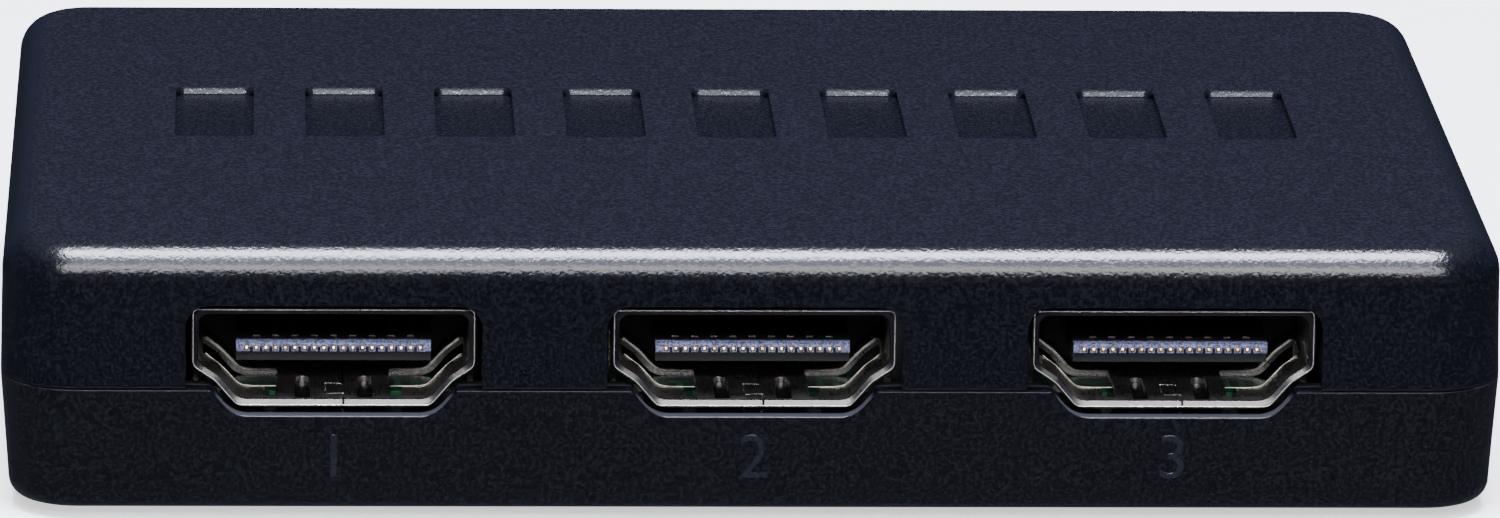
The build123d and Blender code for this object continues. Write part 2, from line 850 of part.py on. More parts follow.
ir_base = control_height - ir_body_height / 2
with BuildPart() as ir_leads:
    with BuildSketch(floor(ir_front).offset(ir_base)):
        with Locations(*[(k * ir_lead_pitch, ir_lead_depth) for k in (-1, 0, 1)]):
            Rectangle(lead_thickness, lead_thickness)
    extrude(amount=-(ir_base + board_thickness + pin_stub))
finish(ir_leads, "ir_leads")

# Jack housing: block on the board, snout in the wall, bore, and a slot for the leaf
leaf_slot_length = jack_leaf_run + jack_leaf_thickness + 2 * jack_slot_gap
with BuildPart() as dc_jack_housing:
    with BuildSketch(jack_front.offset(-jack_start)):
        with Locations((0, jack_height / 2)):
            Rectangle(jack_width, jack_height)
    extrude(amount=-jack_length)
    chamfer(dc_jack_housing.edges().filter_by(Axis.Y).group_by(Axis.Z)[-1], jack_edge)
    with BuildSketch(jack_front.offset(-jack_snout_recess)):
        with Locations((0, jack_centre)):
            Circle(jack_snout_radius)
    extrude(amount=-(jack_start - jack_snout_recess))
    with BuildSketch(jack_front):
        with Locations((0, jack_centre)):
            Circle(jack_bore_radius)
    extrude(amount=-jack_bore_end, mode=Mode.SUBTRACT)
    with BuildSketch(jack_front.offset(-jack_bore_end)):
        with Locations((0, jack_centre)):
            Circle(jack_pin_root_radius + jack_pin_root_gap)
    extrude(amount=-(jack_back - jack_bore_end), mode=Mode.SUBTRACT)
    with BuildSketch(floor(jack_front)):
        slot_end_depth = jack_leaf_end + jack_leaf_thickness / 2 + jack_slot_gap
        with Locations((0, slot_end_depth - leaf_slot_length / 2)):
            Rectangle(jack_leaf_width + 2 * jack_slot_gap, leaf_slot_length)
    extrude(amount=jack_centre, mode=Mode.SUBTRACT)
finish(dc_jack_housing, "dc_jack_housing")

# Centre pin with its root in the housing's back wall and a tab down through the board
with BuildPart() as dc_jack_pin:
    with BuildSketch(jack_front.offset(-jack_pin_recess)):
        with Locations((0, jack_centre)):
            Circle(jack_pin_radius)
    extrude(amount=-(jack_bore_end - jack_pin_recess))
    fillet(dc_jack_pin.faces().sort_by(Axis.Y)[-1].edges(), jack_pin_tip_radius)
    with BuildSketch(jack_front.offset(-jack_bore_end)):
        with Locations((0, jack_centre)):
            Circle(jack_pin_root_radius)
    extrude(amount=-(jack_back - jack_bore_end))
    tab_top = jack_centre + jack_pin_root_radius
    drop = [(jack_tab_depth, tab_top), (jack_tab_depth, -(board_thickness + pin_stub))]
    strip(section(jack_front), drop, jack_tab_thickness, jack_tab_width)
finish(dc_jack_pin, "dc_jack_pin")

# Leaf that touches the barrel of the plug
with BuildPart() as dc_jack_spring:
    leaf_tip = jack_leaf_end - jack_leaf_run
    bend = [
        (jack_leaf_end, -(board_thickness + pin_stub)),
        (jack_leaf_end, jack_leaf_height),
        (leaf_tip, jack_leaf_height + jack_leaf_rise),
    ]
    strip(section(jack_front), bend, jack_leaf_thickness, jack_leaf_width)
finish(dc_jack_spring, "dc_jack_spring")

board_top = level(board_top_height)


def chip_body(place, size, height):
    """Moulded chip standing just off the board on its leads."""
    stand = chip_lead_thickness
    with BuildSketch(board_top.offset(stand)) as base:
        with Locations(place):
            Rectangle(*size)
    extrude(base.sketch, amount=height - stand)


def lead_row(place, reach, height, count, pitch, angle):
    """One row of bent leads along a side of a chip, which turns with the angle."""
    middle = board_top.location * Location((*place, 0), (0, 0, angle))
    row = Plane(middle)
    foot = chip_lead_thickness / 2
    run = [
        (reach, height / 2),
        (reach + lead_out, height / 2),
        (reach + lead_out, foot),
        (reach + lead_out + lead_foot, foot),
    ]
    side = Plane(origin=row.origin, x_dir=row.x_dir, z_dir=-row.y_dir)
    for k in range(count):
        across = (k - (count - 1) / 2) * pitch
        strip(side.offset(across), run, chip_lead_thickness, chip_lead_width)


# Video switch chip with leads on four sides
with BuildPart() as switch_chip:
    chip_body((0, 0), (switch_chip_size, switch_chip_size), switch_chip_height)
finish(switch_chip, "switch_chip")
with BuildPart() as switch_chip_leads:
    for angle in (0, 90, 180, 270):
        reach = switch_chip_size / 2
        lead_row((0, 0), reach, switch_chip_height, switch_chip_side_leads, switch_chip_lead_pitch, angle)
finish(switch_chip_leads, "switch_chip_leads")

# Control chip with leads on two sides
with BuildPart() as microcontroller:
    chip_body(controller_place, controller_size, small_chip_height)
finish(microcontroller, "microcontroller")
with BuildPart() as microcontroller_leads:
    for angle in (90, 270):
        reach = controller_size[1] / 2
        lead_row(controller_place, reach, small_chip_height, controller_side_leads, small_lead_pitch, angle)
finish(microcontroller_leads, "microcontroller_leads")

# One small memory behind each input
memory_places = [(k * socket_pitch, memory_row_y) for k in (-1, 0, 1)]
with BuildPart() as memory_chips:
    for place in memory_places:
        chip_body(place, memory_size, small_chip_height)
finish(memory_chips, "memory_chips")
with BuildPart() as memory_chip_leads:
    for place in memory_places:
        for angle in (90, 270):
            reach = memory_size[1] / 2
            lead_row(place, reach, small_chip_height, memory_side_leads, small_lead_pitch, angle)
finish(memory_chip_leads, "memory_chip_leads")

# Supply regulator: three leads on one side, a wide tab on the other
with BuildPart() as voltage_regulator:
    chip_body(regulator_place, regulator_size, small_chip_height)
finish(voltage_regulator, "voltage_regulator")
with BuildPart() as regulator_leads:
    reach = regulator_size[1] / 2
    lead_row(regulator_place, reach, small_chip_height, regulator_side_leads, regulator_lead_pitch, 270)
    lead_row(regulator_place, reach, small_chip_height, 1, regulator_lead_pitch, 90)
finish(regulator_leads, "regulator_leads")

# Clock can
with BuildPart() as crystal:
    with BuildSketch(board_top):
        with Locations(crystal_place):
            SlotOverall(crystal_length, crystal_width)
    extrude(amount=crystal_height)
    fillet(crystal.faces().sort_by(Axis.Z)[-1].edges(), crystal_edge_radius)
finish(crystal, "crystal")

# Supply capacitor
with BuildPart() as power_capacitor:
    with BuildSketch(board_top):
        with Locations(can_place):
            Circle(can_radius)
    extrude(amount=can_height)
    fillet(power_capacitor.faces().sort_by(Axis.Z)[-1].edges(), can_edge_radius)
finish(power_capacitor, "power_capacitor")

# Small capacitors either side of the switch chip, and a row of resistors
with BuildPart() as chip_capacitors:
    with BuildSketch(board_top):
        with GridLocations(*capacitor_spacing, *capacitor_counts):
            Rectangle(capacitor_size[0], capacitor_size[1])
    extrude(amount=capacitor_size[2])
finish(chip_capacitors, "chip_capacitors")
with BuildPart() as chip_resistors:
    with BuildSketch(board_top):
        with Locations(resistor_row):
            with GridLocations(resistor_pitch, 0, resistor_count, 1):
                Rectangle(resistor_size[1], resistor_size[0])
    extrude(amount=resistor_size[2])
finish(chip_resistors, "chip_resistors")
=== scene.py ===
# %% [markdown]
# # A video switch box in Blender
# The box is a low black plastic case with three sockets along its front edge and an output socket, a power
# jack, a button and three lamps along its back edge. The CAD model gives every piece its true shape and
# size. In this lesson we light it, find the photograph's camera, and give each piece the finish that it has
# on the real object: moulded plastic, nickel-plated sheet, gold contacts, green circuit board and clear
# epoxy.

# %% Load the frame
import math

import bmesh
import bpy
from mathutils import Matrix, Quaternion, Vector


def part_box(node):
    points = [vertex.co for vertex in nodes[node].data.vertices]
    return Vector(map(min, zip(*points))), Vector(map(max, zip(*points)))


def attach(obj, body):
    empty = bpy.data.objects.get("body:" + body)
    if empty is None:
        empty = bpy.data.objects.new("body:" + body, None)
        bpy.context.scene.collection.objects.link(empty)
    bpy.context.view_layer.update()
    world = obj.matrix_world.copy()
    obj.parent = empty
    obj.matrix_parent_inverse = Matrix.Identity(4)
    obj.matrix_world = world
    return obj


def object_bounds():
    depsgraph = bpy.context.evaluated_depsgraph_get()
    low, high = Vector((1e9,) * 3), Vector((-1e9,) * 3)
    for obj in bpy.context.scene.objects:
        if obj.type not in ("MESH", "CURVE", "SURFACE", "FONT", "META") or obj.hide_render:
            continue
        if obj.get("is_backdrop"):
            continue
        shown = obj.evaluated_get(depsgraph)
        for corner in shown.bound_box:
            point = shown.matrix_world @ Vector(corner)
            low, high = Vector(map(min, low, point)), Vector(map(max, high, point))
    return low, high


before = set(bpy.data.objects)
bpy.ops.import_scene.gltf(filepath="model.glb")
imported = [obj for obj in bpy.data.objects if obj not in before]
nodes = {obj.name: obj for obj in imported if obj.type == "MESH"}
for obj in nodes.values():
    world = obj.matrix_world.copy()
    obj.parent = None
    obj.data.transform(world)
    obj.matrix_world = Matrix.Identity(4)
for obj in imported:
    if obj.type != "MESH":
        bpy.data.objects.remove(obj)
cad_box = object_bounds()
print("loaded", len(nodes), "nodes, box", [round(side, 4) for side in cad_box[1] - cad_box[0]], "m")

# %% [markdown]
# ## Places that the rest is measured from
# Blender works in metres, and this object is a few centimetres long. We keep one name for a millimetre, and
# read the main places from the CAD pieces, so that everything we add follows the case if its size changes.
# Only the height of the seam between the two shells is written down, because a rim hides it from every box.
# Both heights are in millimetres, as the finishes want them. Each socket also gets the sign of the way it
# faces along Y: the inputs look to the front, the output to the back.

# %% Measure the case
MM = 0.001
case_front, case_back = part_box("bottom_cover")[0].y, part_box("top_cover")[1].y
roof_height, seam_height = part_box("top_cover")[1].z / MM, 7.1
sockets = ["input_1", "input_2", "input_3", "output"]
mouth_middle = {name: sum(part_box(f"{name}_shell"), Vector()) / 2 for name in sockets}
outward = {name: -1 if mouth_middle[name].y < 0 else 1 for name in sockets}
print("case from", round(case_front / MM, 2), "to", round(case_back / MM, 2), "mm deep, sockets at",
      [round(mouth_middle[name].x / MM, 2) for name in sockets], "mm")

# %% [markdown]
# ## The camera
# The photograph was taken with a long lens from a little above the front edge, so the roof tapers only
# slightly towards the back. Angle, distance and lens were worked out from the places of the three sockets,
# the parting line and the back edge in the picture. A long lens far away gives that flat look, where a
# short one close by would make the sockets lean outwards.

# %% Point the camera
camera_azimuth, camera_elevation, camera_roll = -2.573, 14.107, 0.771
camera_distance = 627.8 * MM
camera_aim = Vector((0.96, 0.0, 6.83)) * MM


def direction(azimuth, elevation):
    """The direction from the object towards a place round it, both angles in degrees."""
    a, e = math.radians(azimuth), math.radians(elevation)
    return Vector((math.sin(a) * math.cos(e), -math.cos(a) * math.cos(e), math.sin(e)))


lens = bpy.data.cameras.new("long_lens")
lens.sensor_width, lens.lens = 36.0, 278.4
lens.clip_start, lens.clip_end = 0.01, 20.0
camera = bpy.data.objects.new("camera", lens)
bpy.context.scene.collection.objects.link(camera)
towards_camera = direction(camera_azimuth, camera_elevation)
camera.location = camera_aim + towards_camera * camera_distance
camera.rotation_mode = "QUATERNION"
roll = Quaternion((0, 0, 1), math.radians(camera_roll))
camera.rotation_quaternion = towards_camera.to_track_quat("Z", "Y") @ roll
bpy.context.scene.camera = camera
print("camera at", [round(value / MM, 1) for value in camera.location], "mm")

# %% [markdown]
# ## Shader maths as expressions
# A procedural finish is a small calculation at every point of the surface. Wiring Math nodes one by one
# hides that calculation, so this class wraps the output socket of a node. Adding or multiplying two of them
# adds the Math node for us, and 1 - mask works as well. Colours and vectors have methods of their own,
# because a Math node turns a colour grey. Every other node comes from the one method called node.

# %% A socket that can be calculated with
class Wire:
    """The output socket of a node, used as a number in an expression."""

    def __init__(self, tree, socket=None):
        self.tree, self.socket = tree, socket

    def node(self, kind, settings=None, inputs=None, output=0):
        """Add a node: first its settings, then the values or links of its inputs."""
        made = self.tree.nodes.new(kind)
        for name, value in (settings or {}).items():
            setattr(made, name, value)
        for name, value in (inputs or {}).items():
            if isinstance(value, Wire):
                self.tree.links.new(value.socket, made.inputs[name])
            else:
                made.inputs[name].default_value = value
        return Wire(self.tree, made.outputs[output] if made.outputs else None)

    def maths(self, operation, first, second):
        """One Math node, and the start of every operator below."""
        return self.node("ShaderNodeMath", {"operation": operation}, {0: first, 1: second})

    def __add__(self, other):
        return self.maths("ADD", self, other)

    def __radd__(self, other):
        return self.maths("ADD", other, self)

    def __sub__(self, other):
        return self.maths("SUBTRACT", self, other)

    def __rsub__(self, other):
        return self.maths("SUBTRACT", other, self)

    def __mul__(self, other):
        return self.maths("MULTIPLY", self, other)

    def __rmul__(self, other):
        return self.maths("MULTIPLY", other, self)

    def step(self, low, high):
        """0 below low, 1 above high and a smooth rise between."""
        return self.node("ShaderNodeMapRange", {"interpolation_type": "SMOOTHSTEP"},
                         {"Value": self, "From Min": low, "From Max": high})

    def magnitude(self):
        """This value without its sign."""
        return self.maths("ABSOLUTE", self, 0)

    def tint(self, low, high):
        """The colour low where this value is 0 and high where it is 1."""
        colours = {6: (*low, 1.0) if isinstance(low, tuple) else low,
                   7: (*high, 1.0) if isinstance(high, tuple) else high}
        return self.node("ShaderNodeMix", {"data_type": "RGBA"}, {0: self, **colours}, output=2)

    def stretch(self, x, y, z):
        """This place, scaled by its own amount along each axis."""
        return self.node("ShaderNodeVectorMath", {"operation": "MULTIPLY"}, {0: self, 1: (x, y, z)})

    def axis(self, index):
        """One of the three coordinates of this place."""
        return self.node("ShaderNodeSeparateXYZ", None, {0: self}, output=index)


print("wires ready")

# %% [markdown]
# ## Describing a surface
# Every finish begins with the place of the surface point. We take it in millimetres, so that a grain of
# 0.2 mm can be written as such. Four helpers then say what the surface has there: soft speckles, scattered
# points, a band between two values, and a height that becomes relief.

# %% Helpers that describe a surface
def begin(name):
    """A new finish: its material and the surface place in millimetres."""
    material = bpy.data.materials.new(name)
    material.use_nodes = True
    material.node_tree.nodes.clear()
    place = Wire(material.node_tree).node("ShaderNodeTexCoord", output=3).stretch(1 / MM, 1 / MM, 1 / MM)
    return material, place


def speckle(place, size, detail=3.0):
    """Soft noise from 0 to 1 whose blots are about size millimetres across."""
    return place.node("ShaderNodeTexNoise", None, {"Vector": place, "Scale": 1 / size, "Detail": detail})


def cells(place, size):
    """The distance to the nearest of many scattered points, about size millimetres apart."""
    return place.node("ShaderNodeTexVoronoi", None, {"Vector": place, "Scale": 1 / size})


def between(value, low, high, blur):
    """1 where the value lies between low and high, with edges that are blur wide."""
    return value.step(low - blur / 2, low + blur / 2) * (1 - value.step(high - blur / 2, high + blur / 2))


def relief(height, depth, rounding=0.0):
    """A surface normal from a height between 0 and 1 that is depth millimetres at most."""
    inputs = {"Height": height, "Distance": depth * MM}
    if rounding:
        inputs["Normal"] = height.node("ShaderNodeBevel", {"samples": 4}, {"Radius": rounding * MM})
    return height.node("ShaderNodeBump", None, inputs)


print("surface places are scaled by", round(1 / MM), "to millimetres")

# %% [markdown]
# ## Closing a finish
# Every finish ends in a Principled shader. What is equal all over the surface is set on the shader itself,
# and only what varies is linked, because that is what an export can bake. Some surfaces are glossy in one
# place and matt in another. A second shader, mixed in by a mask, is the clearest way to say so.

# %% Close a finish and put it on
matt_specular, matt_roughness = 0.005, 0.4


def close(material, wire, dull=None, **shader):
    """Link the shader and say what was made. Where the mask dull is 1, the surface is matt."""
    glossy = {name.replace("_", " "): value for name, value in shader.items()}
    if isinstance(glossy.get("Emission Color"), tuple):
        glossy["Emission Color"] = (*glossy["Emission Color"], 1.0)
    if "Specular" in glossy:
        glossy["Specular IOR Level"] = glossy.pop("Specular")
    surface = wire.node("ShaderNodeBsdfPrincipled", None, glossy)
    if dull:
        matt = {**glossy, "Specular IOR Level": matt_specular, "Roughness": matt_roughness}
        matt_surface = wire.node("ShaderNodeBsdfPrincipled", None, matt)
        surface = wire.node("ShaderNodeMixShader", None, {0: dull, 1: surface, 2: matt_surface})
    wire.node("ShaderNodeOutputMaterial", None, {"Surface": surface})
    print("finish", material.name, "with", len(material.node_tree.nodes), "nodes")
    return material


def coat(material, *names):
    """Give CAD nodes a finish in place of the plain one."""
    for name in names:
        slots = nodes[name].data.materials
        slots.clear()
        slots.append(material)


print("matt places have specular", matt_specular, "and roughness", matt_roughness)

# %% [markdown]
# ## The moulded case
# Both shells are injection-moulded in black plastic with a cold blue cast. The mould was spark-eroded, which
# leaves a fine even grain and a satin shine, and handling leaves dust and faint cloudy smears. A Bevel node
# rounds the light on every edge, as no moulded edge is razor-sharp. The flat of the roof carries a matt
# grain, and hands have polished the rounded edges round it, so a mask by height makes the flat and the sunken
# bars matt: from behind, a glossy roof would mirror the soft boxes and look like silver. Below each socket
# the opening leaves a narrow ledge. It gets a grey strip of painted reflection, which stands in for the
# bright socket lip that it mirrors. Its mask asks which way the surface faces.

# %% Where the case is matt
bars_half_width, bars_front, bars_back, bars_depth = 31.0, -6.0, 11.0, 0.36
flat_start, flat_full = 0.25, 0.03
# The ledges' painted reflection fades out towards the seam.
ledge_depth, reflection_start, reflection_full = 0.85, 0.2, 0.6


def roof_masks(place):
    """Two masks: the flat of the roof above its rounded edges, and the floors of the sunken bars."""
    up, bars_floor = place.axis(2), roof_height - bars_depth
    field = between(place.axis(0), -bars_half_width, bars_half_width, 0.5) * between(
        place.axis(1), bars_front, bars_back, 0.5)
    sunk = field * (1 - up.step(bars_floor - 0.02, bars_floor + 0.02))
    return up.step(roof_height - flat_start, roof_height - flat_full), sunk


def ledge_masks(place):
    """Two masks: the ledges in the openings of the two long walls, and their painted reflection of the socket
    lips on all but their ends.
    """
    facing_up = place.node("ShaderNodeNewGeometry", output=1).axis(2).step(0.2, 0.4)
    inside = between(place.axis(1), case_front / MM + ledge_depth, case_back / MM - ledge_depth, 0.2)
    ledges = facing_up * (1 - inside)
    return ledges, ledges * (1 - place.axis(2).step(seam_height - reflection_full, seam_height - reflection_start))


print("matt above", round(roof_height - flat_start, 2), "mm, ledges", ledge_depth, "mm deep")

# %% [markdown]
# ## One moulding, two shells
# The two shells share one function and differ in their masks. Grain, smears and dust come first. Then the
# colour is laid in layers, each by a mask: dark plastic, the painted reflection on the ledges or the paler
# matt roof, and the dust specks on top. The seam between the shells is a little rougher, as the mould leaves
# it.

# %% Satin black plastic
grain_size, grain_depth, edge_rounding = 0.19, 0.024, 0.12
# The third colour is the grey of the ledges' painted reflection of the socket lips.
grain_peak, speck_colour, ledge_painted_reflection = (0.0032, 0.0034, 0.0050), (0.020, 0.022, 0.028), (0.027, 0.0275, 0.032)
matt_low, matt_peak = (0.0046, 0.0048, 0.0069), (0.0096, 0.0097, 0.0138)
seam_reach, seam_blur, seam_roughness = 0.10, 0.08, 0.45


def moulded_case(name, colour, dust, roof):
    """Black plastic with grain, smears and dust, for the upper shell with its roof or for the lower shell
    with the painted reflection on its ledges.
    """
    material, place = begin(name)
    grain = speckle(place, grain_size, 3.0)
    peaks = grain.step(0.42, 0.66)
    smears = speckle(place, 9.0).step(0.35, 0.7)
    specks = (1 - cells(place, 0.9).step(0.02, 0.05)) * speckle(place, 2.2, 1.0).step(0.55, 0.62) * dust
    body = peaks.tint(colour, grain_peak)
    if roof:
        flat, sunk = roof_masks(place)
        matt, body = sunk + flat, (flat + sunk * 0.5).tint(body, peaks.tint(matt_low, matt_peak))
    else:
        matt, reflecting_ledges = ledge_masks(place)
        # Painted reflection: the ledges get a grey strip that stands in for the mirrored socket lip.
        body = reflecting_ledges.tint(body, ledge_painted_reflection)
    seam = between(place.axis(2), seam_height - seam_reach, seam_height + seam_reach, seam_blur)
    return close(
        material, place, dull=matt, Base_Color=specks.tint(body, speck_colour), Specular=0.5,
        Roughness=0.15 + smears * 0.02 + grain * 0.05 + specks * 0.2 + seam * seam_roughness,
        Normal=relief(grain, grain_depth, edge_rounding),
    )


coat(moulded_case("satin_black_roof", (0.0009, 0.0010, 0.0019), 0.5, roof=True), "top_cover")
coat(moulded_case("satin_black_base", (0.0009, 0.0010, 0.0017), 0.25, roof=False), "bottom_cover")

# %% [markdown]
# ## Painted light in a socket
# A socket gets three marks of painted light: the flared rim is darkened as painted shade, the springs are
# darkened before their crests as painted shade, and the crests carry a painted highlight. Each mark lies at
# its own depth behind the mouth, so we measure that depth first. The springs run in two lanes beside each
# socket's middle, and one mask finds them in all four.

# %% Where the sockets get painted shade and highlights
mouth_front, mouth_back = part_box("input_1_shell")[0].y / MM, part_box("output_shell")[1].y / MM
spring_low, spring_high, spring_start, spring_crest, crest_length = 1.22, 2.0, 0.5, 2.45, 0.75


def behind_mouth(place, facing):
    """How many millimetres a point lies behind the mouths that face one way."""
    return (place.axis(1) - mouth_front) if facing < 0 else (mouth_back - place.axis(1))


def spring_parts(place):
    """Two masks on the springs in the sockets' floors: the part before the crest, which gets painted shade,
    and the crest itself, which gets a painted highlight.
    """
    roots, crests = 0, 0
    for name in sockets:
        across = place.axis(0) - mouth_middle[name].x / MM
        lane = between(across.magnitude(), spring_low, spring_high, 0.04)
        depth = behind_mouth(place, outward[name])
        roots = roots + lane * between(depth, spring_start, spring_crest, 0.15)
        crests = crests + lane * between(depth, spring_crest, spring_crest + crest_length, 0.15)
    return roots, crests


print("mouths at", round(mouth_front, 2), "and", round(mouth_back, 2), "mm, crests", spring_crest, "mm deep")

# %% [markdown]
# ## The plated socket shells
# Each receptacle shell is folded from 0.3 mm sheet and nickel-plated. The sheet keeps fine rolling lines
# along its length, the plating is bright but a little warm, and fine pits and tarnish make it darker in
# blots. The rolling lines are noise that is stretched along the socket's depth. The painted shade of the rims
# and spring roots and the painted highlights of the spring crests are laid over the rest.

# %% Nickel-plated sheet
# The rims' painted shade, the springs' painted shade before the crests and the crests' painted highlight.
rim_depth, rim_painted_shade = 0.3, 0.20
root_painted_shade, crest_painted_highlight = (0.030, 0.028, 0.026), (0.97, 0.94, 0.88)


def plated_sheet(name, colour, roughness, springs=False, metallic=1.0):
    """Plated and rolled sheet, with the painted shade of the sockets' rims and springs and the painted
    highlights of the spring crests if asked for.
    """
    material, place = begin(name)
    rolling = speckle(place.stretch(9.0, 0.35, 9.0), 0.8, 2.0)
    tarnish = speckle(place, 1.6).step(0.42, 0.75)
    pits = speckle(place, 0.13, 2.0).step(0.45, 0.7)
    worn = tuple(value * 0.45 for value in colour[:2]) + (colour[2] * 0.38,)
    shade = (tarnish * 0.4 + pits * 0.6).tint(colour, worn)
    if springs:
        # Painted shade: the rims near each mouth are darkened.
        rims = 2 - (behind_mouth(place, -1).step(rim_depth, rim_depth + 0.1)
                    + behind_mouth(place, 1).step(rim_depth, rim_depth + 0.1))
        shade = rims.tint(shade, tuple(value * rim_painted_shade for value in colour))
        # Painted shade before the spring crests, and a painted highlight on the crests.
        roots, crests = spring_parts(place)
        shade = crests.tint(roots.tint(shade, root_painted_shade), crest_painted_highlight)
    return close(
        material, place, Base_Color=shade, Metallic=metallic,
        Roughness=roughness + rolling * 0.10 + tarnish * 0.10 + pits * 0.06,
        Normal=relief(rolling * 0.5 + pits * 0.5, 0.003, 0.09),
    )


shell_nickel = plated_sheet("nickel_plated_sheet", (0.60, 0.56, 0.53), 0.22, springs=True)
burr_nickel = plated_sheet("sheared_edge", (0.92, 0.88, 0.76), 0.35, metallic=0.3)
coat(shell_nickel, *[f"{name}_shell" for name in sockets])
coat(plated_sheet("spring_nickel", (0.66, 0.62, 0.56), 0.25),
     "switch_bracket", "switch_dome", "dc_jack_pin", "dc_jack_spring")

# %% [markdown]
# ## The tongue
# The tongue and the block behind it are one moulding of glass-filled plastic. The glass makes the surface
# slightly milky, with short pale fibres just under the skin. The block at the back lies in the dark, so the
# finish fades towards it with painted shade: a real tongue is grey all through, and light only reaches its
# nose. The lower part of the nose gets painted shade too, where the contacts' slots begin.

# %% Glass-filled plastic
tongue_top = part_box("input_1_contacts")[1].z / MM - 0.05
nose_low, nose_low_blur = 0.50, 0.08
fibre_low, fibre_peak = (0.034, 0.037, 0.072), (0.15, 0.16, 0.26)
# Painted shade for the nose's lower band and for the block behind it.
band_painted_shade, block_painted_shade = (0.009, 0.009, 0.011), (0.004, 0.004, 0.006)


def glass_filled(name, nose, inward):
    """The tongue's plastic, for the noses that stand at one place along Y and the way in from there, with
    painted shade behind the nose and on its lower part.
    """
    material, place = begin(name)
    fibres = speckle(place.stretch(3.0, 1.0, 3.0), 0.25, 4.0)
    behind = (place.axis(1) - nose / MM) * inward
    milky = fibres.step(0.4, 0.62).tint(fibre_low, fibre_peak)
    # Painted shade: the nose's lower part and everything behind it are darkened.
    low = 1 - (place.axis(2) - tongue_top).step(-nose_low, nose_low_blur - nose_low)
    shaded = (behind + low * 0.3).step(0.2, 0.5).tint(milky, band_painted_shade)
    return close(
        material, place, Base_Color=behind.step(0.8, 1.3).tint(shaded, block_painted_shade),
        Roughness=0.40 + fibres * 0.2, Specular=0.4, Normal=relief(fibres, 0.004, 0.05),
    )


nose_front, nose_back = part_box("input_1_insulator")[0].y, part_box("output_insulator")[1].y
coat(glass_filled("tongue_plastic", nose_front, 1), *[f"{name}_insulator" for name in sockets[:3]])
coat(glass_filled("output_tongue_plastic", nose_back, -1), "output_insulator")

# %% [markdown]
# ## Gold contacts
# The 19 contacts are punched from copper alloy and plated with gold over nickel. The plating is thin in
# places, which look darker and more orange. Small blotches of colour stand in for that. Deep in the socket
# the contacts mirror only darkness, so their gold is painted dark and dull as painted shade. Their polished
# ends get a richer gold further on.

# %% Gold plating
def gold_plating(name, rich, thin_spot, roughness):
    """Gold in a rich colour with blotches of a thinner one."""
    material, place = begin(name)
    thin = speckle(place, 0.35, 2.0).step(0.45, 0.7)
    return close(
        material, place, Base_Color=thin.tint(rich, thin_spot), Metallic=1.0,
        Roughness=roughness + thin * 0.18, Normal=relief(speckle(place, 0.08, 1.0), 0.001, 0.03),
    )


# The contacts' gold is painted dark and dull: painted shade for their depth in the socket.
coat(gold_plating("contact_gold", (0.28, 0.24, 0.24), (0.15, 0.12, 0.12), 0.30),
     *[f"{name}_contacts" for name in sockets])

# %% [markdown]
# ## The circuit board
# A board is glass cloth with copper tracks under green solder mask. Tracks show as slightly raised and
# lighter lines, and the mask pools between them. We draw tracks as two families of bands, one along the board
# and one across it, switched by a blotchy mask so that each runs for a while and then turns. Below the middle
# of each socket, where the socket shades the board, a black patch of painted shadow hides the tracks.

# %% Green solder mask
# Where the black patches of painted shadow lie under the sockets.
shadow_half_width, shadow_start = 2.75, 10.0


def socket_print(place):
    """1 on the black patch of painted shadow under the middle of each socket."""
    patch = 0
    for name in sockets:
        across = place.axis(0) - mouth_middle[name].x / MM
        under = 1 - across.magnitude().step(shadow_half_width - 0.05, shadow_half_width + 0.05)
        towards_mouth = place.axis(1) * outward[name]
        patch = patch + under * towards_mouth.step(shadow_start, shadow_start + 0.1)
    return patch


def tracks(place, direction_name, wavelength):
    """Even bands across one direction."""
    return place.node("ShaderNodeTexWave", {"bands_direction": direction_name},
                      {"Vector": place, "Scale": 1 / wavelength, "Distortion": 0.0}, output=1)


def solder_mask(name):
    """Green mask over copper tracks, with the black patches of painted shadow on top."""
    material, place = begin(name)
    turn = speckle(place, 6.0, 0.0).step(0.49, 0.51)
    copper = (tracks(place, "X", 2.6) * turn + tracks(place, "Y", 3.1) * (1 - turn)).step(0.62, 0.72)
    # Painted shadow: a black patch under each socket, where the socket shades the board.
    shadowed = socket_print(place)
    copper = copper * (1 - shadowed)
    weave = speckle(place, 0.25, 2.0)
    body = weave.tint((0.002, 0.014, 0.006), (0.004, 0.022, 0.009))
    green = copper.tint(body, (0.012, 0.075, 0.03))
    return close(
        material, place, Base_Color=shadowed.tint(green, (0.002, 0.002, 0.002)), Coat_Weight=0.3,
        Roughness=0.26 + weave * 0.14, Normal=relief(copper * 0.8 + weave * 0.2, 0.02),
    )


coat(solder_mask("green_solder_mask"), "circuit_board")

# %% [markdown]
# ## Moulded small parts
# Chips, the remote receiver and the resistors are moulded in filled epoxy, and the jack, the switch and the
# button in harder plastic. They differ in how coarse the filler is and how much the surface shines. One
# function with those two as sizes keeps them related, as they are on the real board.

# %% Black mouldings
def dark_moulding(name, colour, filler_size, roughness, depth=0.006):
    """Filled plastic whose grain is filler_size wide and depth deep, both in millimetres."""
    material, place = begin(name)
    grain = speckle(place, filler_size, 3.0)
    flow = speckle(place.stretch(1.0, 0.3, 1.0), 3.0, 1.0)
    lighter = tuple(value * 1.7 for value in colour)
    return close(
        material, place, Base_Color=(grain * 0.6 + flow * 0.4).step(0.35, 0.7).tint(colour, lighter),
        Roughness=roughness + grain * 0.12, Normal=relief(grain, depth, 0.06),
    )


